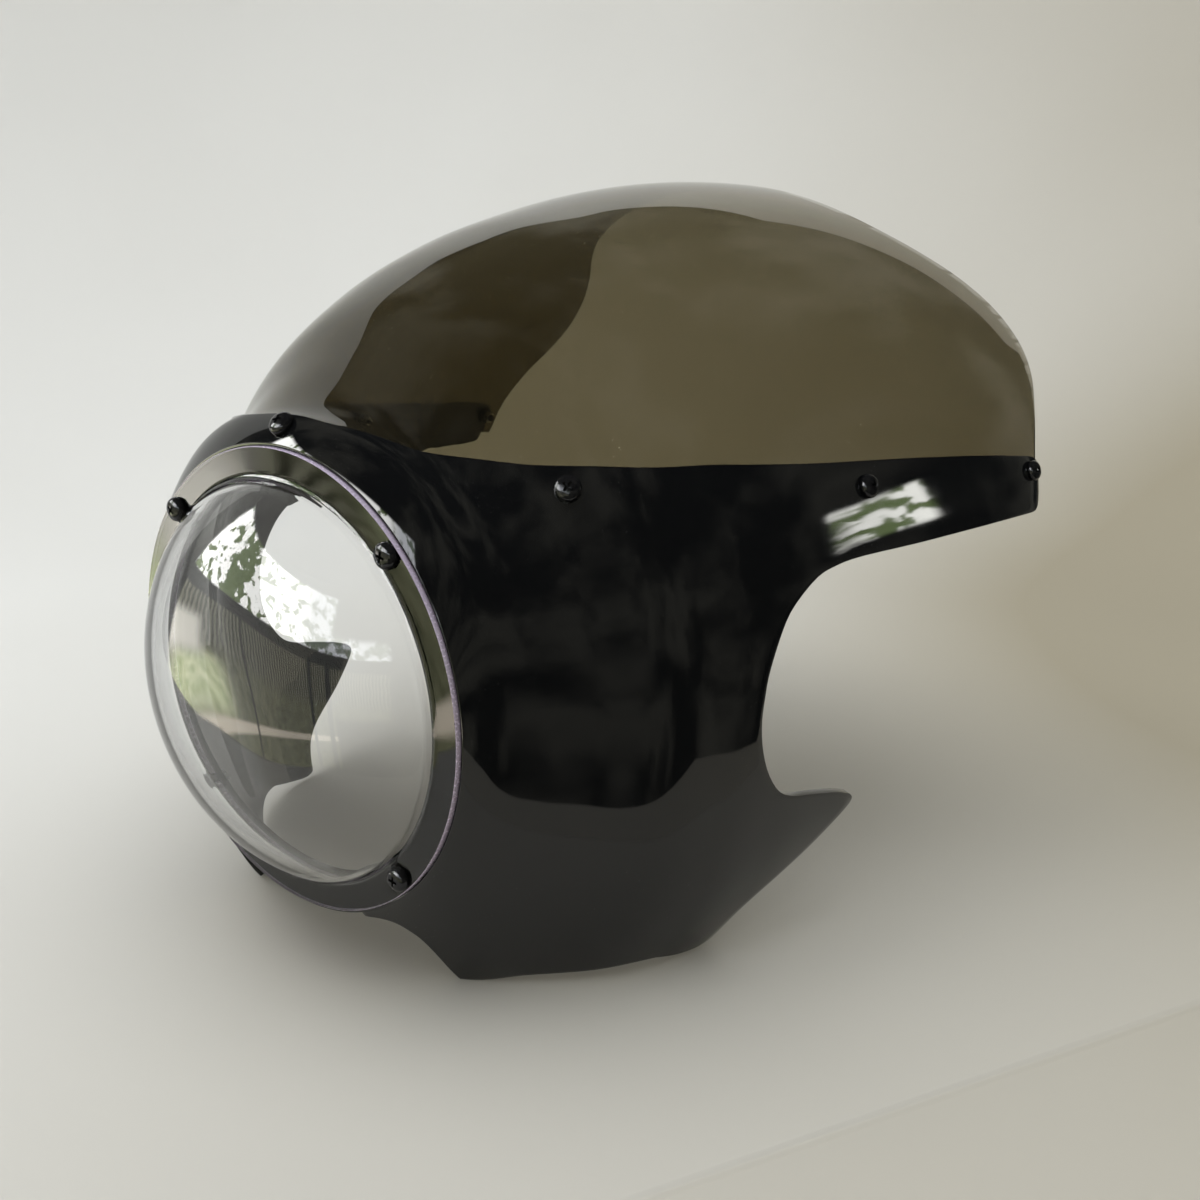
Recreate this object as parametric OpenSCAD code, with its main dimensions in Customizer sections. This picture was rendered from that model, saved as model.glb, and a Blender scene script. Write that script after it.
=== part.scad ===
// Headlight cowl of a motorcycle: a moulded shell that grows from a round lens seat
// into a wide open-backed fairing, a blown windscreen screwed inside its top edge, and
// a clear domed lens screwed over the seat.
// Front is -Y, up is +Z, and the part stands on its two chin teeth and two rear corners.
// Every section across the axis of the lens is a superellipse whose half width, height
// and depth follow smooth curves through the sections named below.

/* [Lens seat] */
// Radius of the opening that the headlight fills
opening_r = 88; // [80:0.5:90]
// Radius of the recess that takes the flange of the lens
recess_r = 105.6; // [105.4:0.05:105.8]
// Gap between the seat's rim and the shell that it closes
seat_gap = 0.25; // [0.2:0.05:0.4]
// Thickness of the seat ring behind the lens flange
seat_t = 3; // [2:0.1:3.5]

/* [Lens] */
// Radius of the flat flange of the lens
flange_r = 105; // [104:0.1:105.2]
// Thickness of the lens sheet and of its flange
lens_t = 4; // [3:0.1:4.5]
// Radius of the foot of the dome
dome_r = 90; // [88:0.5:92]
// Height of the upright foot of the dome in front of the flange
dome_foot = 5.6; // [4:0.1:8]
// Height of the dome above its foot
dome_rise = 34; // [20:1:45]
// Roundness of the dome, where 2 is a plain bowl and more has a fuller shoulder
dome_full = 2.7; // [2:0.1:3.5]

/* [Shell] */
// Wall thickness of the cowl
cowl_wall = 4; // [3:0.1:4.5]
// Wall thickness of the windscreen
screen_wall = 1.8; // [1.6:0.1:3]
// Gap between the cowl's inner face and the windscreen that lies in it
lap_gap = 0.75; // [0.65:0.05:0.9]

/* [Lip section] */
// Depth of the front lip behind the front face of the lens flange
lip_y = 2; // [1.5:0.1:2.4]
// Radius of the front lip, all round
lip_r = 106.5; // [106.5:0.1:107.5]

/* [Neck section] */
// Depth of the neck section
neck_y = 12; // [11:0.5:13]
// Half width at the neck
neck_w = 110; // [109:0.5:112]
// Height at the neck
neck_t = 117; // [116:0.5:120]
// Depth below the axis at the neck
neck_b = 127; // [124:0.5:130]

/* [Throat section] */
// Depth of the throat section
throat_y = 28; // [26:0.5:31]
// Half width at the throat
throat_w = 120; // [118:0.5:123]
// Height at the throat
throat_t = 123; // [121:0.5:126]
// Depth below the axis at the throat
throat_b = 152; // [148:0.5:156]

/* [Flare section] */
// Depth of the flare section
flare_y = 48; // [45:1:52]
// Half width at the flare
flare_w = 136; // [133:1:140]
// Height at the flare
flare_t = 142; // [139:1:146]
// Depth below the axis at the flare
flare_b = 170; // [166:1:174]

/* [Ramp section] */
// Depth of the ramp section
ramp_y = 70; // [66:1:75]
// Half width at the ramp
ramp_w = 157; // [154:1:160]
// Height at the ramp
ramp_t = 165; // [161:1:169]
// Depth below the axis at the ramp
ramp_b = 184; // [180:1:188]

/* [Shoulder section] */
// Depth of the shoulder section
shoulder_y = 98; // [93:1:104]
// Half width at the shoulder
shoulder_w = 171; // [168:1:175]
// Height at the shoulder
shoulder_t = 184.5; // [180:0.5:188]
// Depth below the axis at the shoulder
shoulder_b = 196; // [192:1:199]

/* [Waist section] */
// Depth of the waist section
waist_y = 135; // [128:1:142]
// Half width at the waist
waist_w = 182; // [179:1:185]
// Height at the waist
waist_t = 202; // [198:0.5:206]

/* [Flank section] */
// Depth of the flank section
flank_y = 180; // [170:1:190]
// Half width at the flank
flank_w = 191.5; // [188:0.5:195]
// Height at the flank
flank_t = 216; // [212:0.5:220]

/* [Hip section] */
// Depth of the hip section
hip_y = 240; // [228:1:252]
// Half width at the hip
hip_w = 204; // [200:1:208]
// Height at the hip
hip_t = 229.5; // [225:0.5:234]

/* [Rear section] */
// Depth of the rear section
rear_y = 310; // [295:1:325]
// Half width at the rear
rear_w = 217; // [213:1:221]
// Height at the rear
rear_t = 238; // [234:0.5:242]

/* [Tail section] */
// Depth of the tail section, at the rearmost point of the windscreen
tail_y = 420; // [400:1:440]
// Half width at the tail
tail_w = 228; // [224:1:234]
// Height at the tail
tail_t = 237; // [233:0.5:242]
// Depth below the axis from the waist back
skirt_b = 200; // [196:1:206]

/* [Fasteners] */
// Radius of the screw shanks
screw_r = 2.5; // [2:0.1:3]
// Clearance round a shank in the plastic
hole_gap = 0.3; // [0.2:0.05:0.6]
// Clearance round a shank in its nut and washer
thread_gap = 0.05; // [0.03:0.01:0.2]
// Radius of the screw heads
head_r = 5.7; // [5.2:0.1:6.2]
// Height of the screw heads
head_h = 4; // [3:0.1:5]
// Radius of the washers
washer_r = 6.2; // [5.6:0.1:7]
// Thickness of the washers
washer_t = 1.2; // [0.8:0.1:1.6]
// Width of the nuts across their flats
nut_af = 8; // [8:0.1:9]
// Thickness of the nuts
nut_t = 4; // [3:0.1:5]
// Length of shank that shows past a nut
tip = 1.5; // [1:0.1:3]
// Radius of the circle that the lens screws stand on
lens_screw_circle = 98.8; // [98:0.1:99]
// Number of lens screws, the first one half a step round from the side
lens_screws_n = 4; // [3:1:6]
// Gap between a flat head or washer and the curved face that it lies on
curve_gap = 0.55; // [0.5:0.05:0.7]

/* [Hidden] */

// Rows along each strip of the cowl and of the windscreen
cowl_rows = 13;
screen_rows = 13;
// Facets of round pieces
$fn = 96;

// Depths of the sections
sec_y = [lip_y, neck_y, throat_y, flare_y, ramp_y, shoulder_y, waist_y, flank_y, hip_y, rear_y, tail_y];
// Half widths, heights and depths below the axis at the sections
sec_w = [lip_r, neck_w, throat_w, flare_w, ramp_w, shoulder_w, waist_w, flank_w, hip_w, rear_w, tail_w];
sec_t = [lip_r, neck_t, throat_t, flare_t, ramp_t, shoulder_t, waist_t, flank_t, hip_t, rear_t, tail_t];
sec_b = [lip_r, neck_b, throat_b, flare_b, ramp_b, shoulder_b, skirt_b, skirt_b, skirt_b, skirt_b, skirt_b];
// Squareness of the sections above and below the axis, where 2 is an ellipse
sec_nu = [2, 2.25, 2.15, 2, 2, 2, 2, 2, 2, 2, 2];
sec_nl = [2, 2.1, 2.35, 2.45, 2.45, 2.45, 2.4, 2.35, 2.3, 2.2, 2.2];

// The edge of the cowl's near half, from the middle of the brow round to the chin. Each
// point holds the angle at the lip where its strip starts, its own angle round the lens
// axis, and its depth. Angle 0 is the near side and 90 the top.
edge_joint = [[90, 90, 13], [84, 77, 13], [77, 66, 19], [68, 56, 32], [56, 45, 54],
    [46.5, 38, 77.5], [41, 34, 112], [36.5, 30.5, 159], [34, 27, 233], [32, 23.5, 317],
    [31, 22.2, 350]];
edge_tail = [[31, 22.2, 350], [30.7, 21.6, 358.5], [30.3, 20.4, 361], [29.8, 18.4, 358],
    [29.3, 15.6, 354], [29, 14.4, 349], [28.8, 14.3, 341]];
edge_notch = [[28.8, 14.3, 341], [27.5, 15, 275], [25.5, 15.6, 225], [23, 16.3, 183],
    [21, 16.2, 164], [19, 15.4, 149.5], [16, 12.6, 133.5], [12, 9.3, 124.5], [6, 4.5, 117],
    [1, 0.7, 114.5], [-4, -3, 113.7], [-9, -7, 115.7], [-14, -11, 121], [-18.5, -14.4, 130],
    [-22, -16, 141], [-24, -17, 157], [-25.6, -18.4, 177], [-26.8, -19.7, 190]];
edge_horn = [[-26.8, -19.7, 190], [-27.4, -20.7, 193.6], [-28, -22, 192], [-29.5, -24.5, 183],
    [-31.3, -27.5, 170.5], [-33.2, -30.5, 155.5], [-35, -33.2, 142.5], [-36.8, -36, 133.5],
    [-38.6, -39.3, 128.3], [-40, -41.6, 125.5], [-41, -42.3, 119.5]];
edge_foot = [[-41, -42.3, 119.5], [-41.7, -41.6, 101], [-43.2, -43, 80], [-46.3, -47, 62.5],
    [-49.5, -52.8, 46], [-52, -58.3, 36.5], [-54, -61.4, 31.3]];
edge_chin = [[-54, -61.4, 31.3], [-54.4, -60.4, 26], [-55.2, -59.3, 21], [-56.1, -58.4, 16],
    [-57.2, -58.2, 12], [-59.5, -59.3, 7.2], [-62.8, -62.4, 4.5], [-66.5, -66.5, 3.2]];

// The windscreen's near half from the middle to its lower rear corner. Each point holds
// the angle and depth of the front edge, then those of the rear edge.
screen_edges = [[90, 4.6, 90, 342], [80, 4.9, 80, 344], [70.5, 7, 71, 350], [62.5, 12, 64, 360],
    [54, 20, 58, 378], [47, 30, 52, 400], [40.5, 42, 46.5, 414.5], [35, 57, 41.5, 419.5],
    [30.7, 76, 37.5, 417.5], [27.2, 100, 33.5, 409], [24.3, 133, 29.5, 395],
    [22, 172, 26, 383.5], [20, 222, 22.7, 374], [18.4, 277, 19.8, 368], [17.2, 322, 17.3, 364.5],
    [16.4, 350, 15.9, 361]];

// Where the windscreen's screws stand on the near half: angle and depth on the surface
screw_front = [90, 8];
screw_side = [[39.5, 57], [25.1, 196.5], [20, 351]];

// A point on the curve that runs through four points, at t from 0 to 1 between b and c
function curve(a, b, c, d, t) = b + 0.5 * t * (c - a + t * (2 * a - 5 * b + 4 * c - d
    + t * (3 * (b - c) + d - a)));
// A list of points made n times finer along its own smooth curve
function finer(p, n) = let(m = len(p) - 1) [for (i = [0:m - 1], k = [0:n - 1])
    curve(i == 0 ? 2 * p[0] - p[1] : p[i - 1], p[i], p[i + 1],
        i == m - 1 ? 2 * p[m] - p[m - 1] : p[i + 2], k / n)];

// Slope of the smooth curve through (x, v) at its point i
function chord(x, v, i) = (v[i + 1] - v[i]) / (x[i + 1] - x[i]);
function inner_slope(x, v, i) = ((x[i + 1] - x[i]) * chord(x, v, i - 1)
    + (x[i] - x[i - 1]) * chord(x, v, i)) / (x[i + 1] - x[i - 1]);
function slope(x, v, i) = i == 0 ? 2 * chord(x, v, 0) - inner_slope(x, v, 1)
    : i == len(x) - 1 ? 2 * chord(x, v, i - 1) - inner_slope(x, v, i - 1)
    : inner_slope(x, v, i);
// The span of x that a depth falls in, and the curve's value there
function span_of(x, q, i = 0) = i >= len(x) - 2 || q < x[i + 1] ? i : span_of(x, q, i + 1);
function along(x, v, q) = let(i = span_of(x, q), h = x[i + 1] - x[i], t = (q - x[i]) / h)
    (2 * t * t * t - 3 * t * t + 1) * v[i] + (t * t * t - 2 * t * t + t) * h * slope(x, v, i)
    + (3 * t * t - 2 * t * t * t) * v[i + 1] + (t * t * t - t * t) * h * slope(x, v, i + 1);

// Radius of the outer surface at an angle and a depth, the point there and its normal
function radius(a, y) = let(up = sin(a) >= 0, n = along(sec_y, up ? sec_nu : sec_nl, y),
    w = along(sec_y, sec_w, y), h = along(sec_y, up ? sec_t : sec_b, y))
    pow(pow(abs(cos(a)) / w, n) + pow(abs(sin(a)) / h, n), -1 / n);
function surface_point(a, y) = let(r = radius(a, y)) [r * cos(a), y, r * sin(a)];
function unit(v) = v / norm(v);
function normal_at(a, y) = unit(cross(surface_point(a, y + 0.1) - surface_point(a, y - 0.1),
    surface_point(a + 0.1, y) - surface_point(a - 0.1, y)));
function below(a, y, d) = surface_point(a, y) - d * normal_at(a, y);

// Share of a strip's length that its row j has run, closer together near the lens
function share(j, rows) = pow(j / rows, 1.8);

// The whole edge of the cowl, from the far side's chin over the brow to the near side's
near_edge = concat(finer(edge_joint, 2), finer(edge_tail, 1), finer(edge_notch, 1),
    finer(edge_horn, 1), finer(edge_foot, 2), finer(edge_chin, 1),
    [edge_chin[len(edge_chin) - 1]]);
cowl_edge = concat([for (i = [len(near_edge) - 1:-1:1])
    [180 - near_edge[i][0], 180 - near_edge[i][1], near_edge[i][2]]], near_edge);

// The seat's front face carries the lens flange
seat_y = lens_t;
seat_back = seat_y + seat_t;
seat_r = recess_r - seat_gap;

function strip_at(e, s) = [e[0] + (e[1] - e[0]) * s, lip_y + (e[2] - lip_y) * s];
cowl_outer = [for (e = cowl_edge) [for (j = [0:cowl_rows])
    let(q = strip_at(e, share(j, cowl_rows))) surface_point(q[0], q[1])]];
// A point moved out, if it has to be, to the radius of the recess
function outside_recess(p) = let(k = max(1, recess_r / norm([p[0], p[2]]))) [k * p[0], p[1], k * p[2]];
// The inner face starts at the recess and then follows the outer face
function cowl_inner_point(e, j) = let(q = strip_at(e, share(j, cowl_rows)))
    j == 0 ? [recess_r * cos(q[0]), lip_y, recess_r * sin(q[0])]
    : outside_recess(below(q[0], q[1], cowl_wall));
cowl_inner = [for (e = cowl_edge) [for (j = [0:cowl_rows]) cowl_inner_point(e, j)]];

// The windscreen's outer face lies under the cowl's inner face
screen_depth = cowl_wall + lap_gap;
near_screen = concat(finer(screen_edges, 2), [screen_edges[len(screen_edges) - 1]]);
screen_strips = concat([for (i = [len(near_screen) - 1:-1:1])
    [180 - near_screen[i][0], near_screen[i][1], 180 - near_screen[i][2], near_screen[i][3]]],
    near_screen);
function screen_at(e, s) = [e[0] + (e[2] - e[0]) * s, e[1] + (e[3] - e[1]) * s];
function screen_layer(d) = [for (e = screen_strips) [for (j = [0:screen_rows])
    let(q = screen_at(e, share(j, screen_rows))) below(q[0], q[1], d)]];

// Angle at which the chin's edge runs out on the lip
chin_end = edge_chin[len(edge_chin) - 1][1];

screen_outer = screen_layer(screen_depth);
screen_inner = screen_layer(screen_depth + screen_wall);

// Every windscreen screw: angle and depth, near side, far side and the brow
screen_screw_spots = concat([screw_front], screw_side, [for (s = screw_side) [180 - s[0], s[1]]]);
// Where the windscreen's inner face lies along a screw's axis, from the outer face inward
screen_back = screen_depth + screen_wall;
// Heights, over its own level at a spot, of the surface at depth d in a ring of radius r
// round that spot
function ring_heights(s, d, r) = let(n = normal_at(s[0], s[1]), p = below(s[0], s[1], d),
    per_angle = norm(surface_point(s[0] + 1, s[1]) - surface_point(s[0] - 1, s[1])) / 2,
    per_depth = norm(surface_point(s[0], s[1] + 1) - surface_point(s[0], s[1] - 1)) / 2)
    [for (k = [0:30:330])
        (below(s[0] + r * cos(k) / per_angle, s[1] + r * sin(k) / per_depth, d) - p) * n];
// Gap under a head and over a washer at the middle, so that their rims clear the curved sheet
function head_gap(s) = curve_gap + max(0, max(ring_heights(s, 0, head_r)));
function washer_gap(s) = curve_gap - min(0, min(ring_heights(s, screen_back, washer_r)));
function screen_stack(s) = screen_back + washer_gap(s);

// The part's own origin is under the middle of its box, on the surface it stands on
foot_z = min([for (g = [cowl_outer, cowl_inner], s = g, p = s) p[2]]);
front_y = -(dome_foot + dome_rise);
back_y = max([for (s = screen_outer, p = s) p[1]]);

// Puts its children in the part's own frame
module placed() {
    translate([0, -(front_y + back_y) / 2, -foot_z]) children();
}

// Turns a piece that is drawn along Z so that Z runs along the axis of the lens, backward
module along_axis() {
    rotate([-90, 0, 0]) children();
}

// Puts a piece drawn about Z on the surface at an angle and a depth, Z outward
module on_surface(spot) {
    p = surface_point(spot[0], spot[1]);
    n = normal_at(spot[0], spot[1]);
    translate(p) rotate([0, acos(n[2]), atan2(n[1], n[0])]) children();
}

// Two triangles for the square a b c d, split along its shorter diagonal
function square_faces(pts, a, b, c, d) = norm(pts[a] - pts[c]) < norm(pts[b] - pts[d])
    ? [[c, b, a], [d, c, a]] : [[d, b, a], [d, c, b]];

// A closed thin shell between two grids of points, both given as strips of rows
module thin_shell(outer, inner) {
    k = len(outer);
    m = len(outer[0]);
    pts = concat([for (s = outer) each s], [for (s = inner) each s]);
    o = k * m;
    faces = concat(
        [for (i = [0:k - 2], j = [0:m - 2])
            each square_faces(pts, i * m + j, (i + 1) * m + j, (i + 1) * m + j + 1, i * m + j + 1)],
        [for (i = [0:k - 2], j = [0:m - 2])
            each square_faces(pts, o + i * m + j, o + i * m + j + 1, o + (i + 1) * m + j + 1,
                o + (i + 1) * m + j)],
        [for (i = [0:k - 2])
            each square_faces(pts, i * m, o + i * m, o + (i + 1) * m, (i + 1) * m)],
        [for (i = [0:k - 2])
            each square_faces(pts, i * m + m - 1, (i + 1) * m + m - 1, o + (i + 1) * m + m - 1,
                o + i * m + m - 1)],
        [for (j = [0:m - 2])
            each square_faces(pts, j, j + 1, o + j + 1, o + j)],
        [for (j = [0:m - 2])
            each square_faces(pts, (k - 1) * m + j, o + (k - 1) * m + j, o + (k - 1) * m + j + 1,
                (k - 1) * m + j + 1)]);
    polyhedron(points = pts, faces = faces);
}

// Places its children at each lens screw, Z backward, on the front face of the flange
module at_lens_screws() {
    for (i = [0:lens_screws_n - 1])
        along_axis() rotate([0, 0, 360 / lens_screws_n * (i + 0.5)])
            translate([lens_screw_circle, 0, 0]) children();
}

// The shell of the cowl, from the lip back
module cowl() {
    color("#141416") placed() difference() {
        thin_shell(cowl_outer, cowl_inner);
        for (s = screen_screw_spots)
            on_surface(s) translate([0, 0, -2 * cowl_wall])
                cylinder(r = screw_r + hole_gap, h = 3 * cowl_wall, $fn = 32);
    }
}

// The cowl's flat seat behind the lens, with the lip that runs on under the chin gap
module lens_seat() {
    gap_angle = -90 - chin_end;
    color("#141416") placed() difference() {
        along_axis() union() {
            rotate_extrude()
                polygon([[opening_r, seat_y], [seat_r, seat_y], [seat_r, seat_back],
                    [opening_r, seat_back]]);
            rotate([0, 0, -chin_end + 0.5]) rotate_extrude(angle = -2 * gap_angle - 1)
                polygon([[recess_r, lip_y], [lip_r, lip_y], [lip_r, seat_back],
                    [seat_r - 2, seat_back], [seat_r - 2, seat_y], [recess_r, seat_y]]);
        }
        at_lens_screws() cylinder(r = screw_r + hole_gap, h = 2 * seat_back, $fn = 32);
    }
}

module windscreen() {
    color("#4a4438") placed() difference() {
        thin_shell(screen_outer, screen_inner);
        for (s = screen_screw_spots)
            on_surface(s) translate([0, 0, -screen_depth - 2 * screen_wall])
                cylinder(r = screw_r + hole_gap, h = 3 * screen_wall, $fn = 32);
    }
}

// Height of the dome at a radius, for a foot radius and a rise
function dome_at(r, foot_r, rise) = rise * (1 - pow(r / foot_r, dome_full));
dome_steps = 20;

module lens() {
    inner_r = dome_r - lens_t;
    outer = [for (i = [0:dome_steps]) let(r = dome_r * i / dome_steps)
        [r, -dome_foot - dome_at(r, dome_r, dome_rise)]];
    inner = [for (i = [dome_steps:-1:0]) let(r = inner_r * i / dome_steps)
        [r, lens_t - dome_foot - dome_at(r, inner_r, dome_rise)]];
    color("#dfe6ea") placed() difference() {
        along_axis() rotate_extrude()
            polygon(concat(outer, [[dome_r, 0], [flange_r, 0], [flange_r, lens_t],
                [inner_r, lens_t]], inner));
        at_lens_screws() translate([0, 0, -lens_t])
            cylinder(r = screw_r + hole_gap, h = 3 * lens_t, $fn = 32);
    }
}

// A screw with a low round head, drawn with the head's flat at 0 and the shank below it
module screw(length) {
    top_r = 0.35 * head_r;
    rotate_extrude($fn = 32)
        polygon([[0, -length], [screw_r, -length], [screw_r, 0], [head_r, 0],
            [head_r, 0.3 * head_h], [0.87 * head_r, 0.7 * head_h], [0.6 * head_r, 0.93 * head_h],
            [top_r, head_h], [0, head_h]]);
}

module washer() {
    difference() {
        cylinder(r = washer_r, h = washer_t, $fn = 32);
        translate([0, 0, -washer_t])
            cylinder(r = screw_r + thread_gap, h = 3 * washer_t, $fn = 32);
    }
}

module nut() {
    difference() {
        cylinder(r = nut_af / 2 / cos(30), h = nut_t, $fn = 6);
        translate([0, 0, -nut_t])
            cylinder(r = screw_r + thread_gap, h = 3 * nut_t, $fn = 32);
    }
}

lens_stack = lens_t + seat_t;

module lens_screws() {
    color("#1c1c1e") placed() at_lens_screws() mirror([0, 0, 1])
        screw(lens_stack + washer_t + nut_t + tip);
}

module lens_washers() {
    color("#26262a") placed() at_lens_screws() translate([0, 0, lens_stack]) washer();
}

module lens_nuts() {
    color("#8c8f93") placed() at_lens_screws() translate([0, 0, lens_stack + washer_t]) nut();
}

module screen_screws() {
    color("#1c1c1e") placed() for (s = screen_screw_spots)
        on_surface(s) translate([0, 0, head_gap(s)])
            screw(head_gap(s) + screen_stack(s) + washer_t + nut_t + tip);
}

module screen_washers() {
    color("#26262a") placed() for (s = screen_screw_spots)
        on_surface(s) translate([0, 0, -screen_stack(s) - washer_t]) washer();
}

module screen_nuts() {
    color("#8c8f93") placed() for (s = screen_screw_spots)
        on_surface(s) translate([0, 0, -screen_stack(s) - washer_t - nut_t]) nut();
}

cowl();
lens_seat();
windscreen();
lens();
lens_screws();
lens_washers();
lens_nuts();
screen_screws();
screen_washers();
screen_nuts();
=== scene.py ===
"""A motorcycle headlight cowl: glossy black shell, smoked windscreen and clear domed lens."""

import logging
import math
from collections.abc import Callable
from dataclasses import dataclass, field, replace
from enum import Enum

import bmesh
import bpy
from mathutils import Matrix, Vector


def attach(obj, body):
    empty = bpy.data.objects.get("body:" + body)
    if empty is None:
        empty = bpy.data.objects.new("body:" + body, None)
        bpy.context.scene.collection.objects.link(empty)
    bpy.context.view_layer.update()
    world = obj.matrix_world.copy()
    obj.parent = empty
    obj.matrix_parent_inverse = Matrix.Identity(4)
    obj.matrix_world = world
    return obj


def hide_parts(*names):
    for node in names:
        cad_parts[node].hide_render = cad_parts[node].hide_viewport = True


LOG = logging.getLogger("headlight_cowl")

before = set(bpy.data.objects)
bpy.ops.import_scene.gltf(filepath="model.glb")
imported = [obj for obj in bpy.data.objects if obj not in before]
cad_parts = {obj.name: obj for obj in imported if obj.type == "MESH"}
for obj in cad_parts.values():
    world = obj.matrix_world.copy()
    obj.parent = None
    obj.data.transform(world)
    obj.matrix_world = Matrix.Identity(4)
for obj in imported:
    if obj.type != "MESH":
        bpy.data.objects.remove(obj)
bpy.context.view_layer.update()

MM = 0.001
BODY = "root"
# Vertices nearer than this are one, in metres
SAME_SPOT = 1e-6
# How far a vertex may be off when it is picked by its place, in millimetres
NEAR = 0.01
# What rounding can add to a share or a count
ROUNDING = 1e-9
# Degrees in a radian
DEGREES = 57.2958
# Where the middle of the lens flange's front face lies in the part's frame
RING = Vector((0.0, -189.931 * MM, 134.544 * MM))
# The photograph's frame, in pixels
FRAME_PX = 1200.0
# How fast the rows of a strip spread behind the lens
SPREAD = 1.8
# Linear red, green and blue
Colour = tuple[float, float, float]


class Look(Enum):
    """The finishes that the pieces are dressed in."""

    BLACK = "cowl"
    SMOKED = "windscreen"
    CLEAR = "lens"
    SCREW = "screws"
    WASHER = "washers"
    NUT = "nuts"


# The form that the cowl and the windscreen share


def chord(x: list[float], v: list[float], i: int) -> float:
    """Slope of the straight line from point i to the next one."""
    return (v[i + 1] - v[i]) / (x[i + 1] - x[i])


def inner_slope(x: list[float], v: list[float], i: int) -> float:
    """Slope of the smooth curve at an inner point i."""
    return ((x[i + 1] - x[i]) * chord(x, v, i - 1) + (x[i] - x[i - 1]) * chord(x, v, i)) / (x[i + 1] - x[i - 1])


def slopes(x: list[float], v: list[float]) -> list[float]:
    """Slopes of the smooth curve at every point.

    Args:
        x: where the points lie.
        v: the curve's values there.

    Returns:
        One slope for each point.
    """
    n = len(x)
    inner = [inner_slope(x, v, i) for i in range(1, n - 1)]
    return [2 * chord(x, v, 0) - inner[0], *inner, 2 * chord(x, v, n - 2) - inner[-1]]


@dataclass(frozen=True)
class Section:
    """One section across the axis of the lens, in millimetres.

    Args:
        depth: distance behind the front face of the lens flange.
        half_width: half the width.
        height: height above the axis.
        below: depth below the axis.
        square_up: squareness above the axis, where 2 is an ellipse.
        square_down: squareness below the axis.
    """

    depth: float
    half_width: float
    height: float
    below: float
    square_up: float = 2.0
    square_down: float = 2.0


SECTIONS = (
    Section(2, 106.5, 106.5, 106.5, 2.0, 2.0),
    Section(12, 110, 117, 127, 2.25, 2.1),
    Section(28, 120, 123, 152, 2.15, 2.35),
    Section(48, 136, 142, 170, 2.0, 2.45),
    Section(70, 157, 165, 184, 2.0, 2.45),
    Section(98, 171, 184.5, 196, 2.0, 2.45),
    Section(135, 182, 202, 200, 2.0, 2.4),
    Section(180, 191.5, 216, 200, 2.0, 2.35),
    Section(240, 204, 229.5, 200, 2.0, 2.3),
    Section(310, 217, 238, 200, 2.0, 2.2),
    Section(420, 228, 237, 200, 2.0, 2.2),
)


@dataclass
class BodyForm:
    """The outer surface: superellipse sections on smooth curves along the axis."""

    sections: tuple[Section, ...] = SECTIONS
    normal_step: float = 0.1
    curves: dict[str, tuple[list[float], list[float]]] = field(default_factory=dict)
    depths: list[float] = field(default_factory=list)

    def __post_init__(self) -> None:
        """Works out the slopes of every curve once."""
        self.depths = [s.depth for s in self.sections]
        for name in ("half_width", "height", "below", "square_up", "square_down"):
            values = [float(getattr(s, name)) for s in self.sections]
            self.curves[name] = (values, slopes(self.depths, values))

    def along(self, name: str, depth: float) -> float:
        """Value of one curve at a depth.

        Args:
            name: the section's field.
            depth: distance behind the flange's front face, in millimetres.

        Returns:
            The value on the smooth curve.
        """
        x = self.depths
        values, m = self.curves[name]
        i = 0
        while i < len(x) - 2 and depth >= x[i + 1]:
            i += 1
        h = x[i + 1] - x[i]
        t = (depth - x[i]) / h
        return (
            (2 * t**3 - 3 * t**2 + 1) * values[i]
            + (t**3 - 2 * t**2 + t) * h * m[i]
            + (3 * t**2 - 2 * t**3) * values[i + 1]
            + (t**3 - t**2) * h * m[i + 1]
        )

    def point(self, angle: float, depth: float) -> Vector:
        """Point of the outer surface.

        Args:
            angle: degrees round the lens axis, 0 at the near side and 90 at the top.
            depth: distance behind the flange's front face, in millimetres.

        Returns:
            The point in millimetres from the middle of the flange.
        """
        c, s = math.cos(math.radians(angle)), math.sin(math.radians(angle))
        n = self.along("square_up" if s >= 0 else "square_down", depth)
        tall = self.along("height" if s >= 0 else "below", depth)
        wide = self.along("half_width", depth)
        r = (abs(c / wide) ** n + abs(s / tall) ** n) ** (-1 / n)
        return Vector((r * c, depth, r * s))

    def normal(self, angle: float, depth: float) -> Vector:
        """Outward unit normal of the surface.

        Args:
            angle: degrees round the lens axis.
            depth: distance behind the flange's front face, in millimetres.

        Returns:
            The normal, found from two short steps on the surface.
        """
        step = self.normal_step
        back = self.point(angle, depth + step) - self.point(angle, depth - step)
        turn = self.point(angle + step, depth) - self.point(angle - step, depth)
        return back.cross(turn).normalized()

    def below_skin(self, angle: float, depth: float, inset: float) -> Vector:
        """Point at a distance inward from the outer surface."""
        return self.point(angle, depth) - inset * self.normal(angle, depth)


def smooth(a: float, b: float, c: float, d: float, t: float) -> float:
    """Value on the curve through four values, at t from 0 to 1 between b and c."""
    return b + 0.5 * t * (c - a + t * (2 * a - 5 * b + 4 * c - d + t * (3 * (b - c) + d - a)))


def on_run(run: tuple[tuple[float, ...], ...], t: float) -> tuple[float, ...]:
    """Point of a smooth run at t from 0 to 1.

    Args:
        run: the points that the run goes through.
        t: share of the run's spans that are passed.

    Returns:
        The point on the curve.
    """
    m = len(run) - 1
    i = min(int(t * m), m - 1)
    k = t * m - i
    before = run[i - 1] if i else tuple(2 * p - q for p, q in zip(run[0], run[1]))
    after = run[i + 2] if i + 2 <= m else tuple(2 * p - q for p, q in zip(run[m], run[m - 1]))
    return tuple(smooth(a, b, c, d, k) for a, b, c, d in zip(before, run[i], run[i + 1], after))


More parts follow.
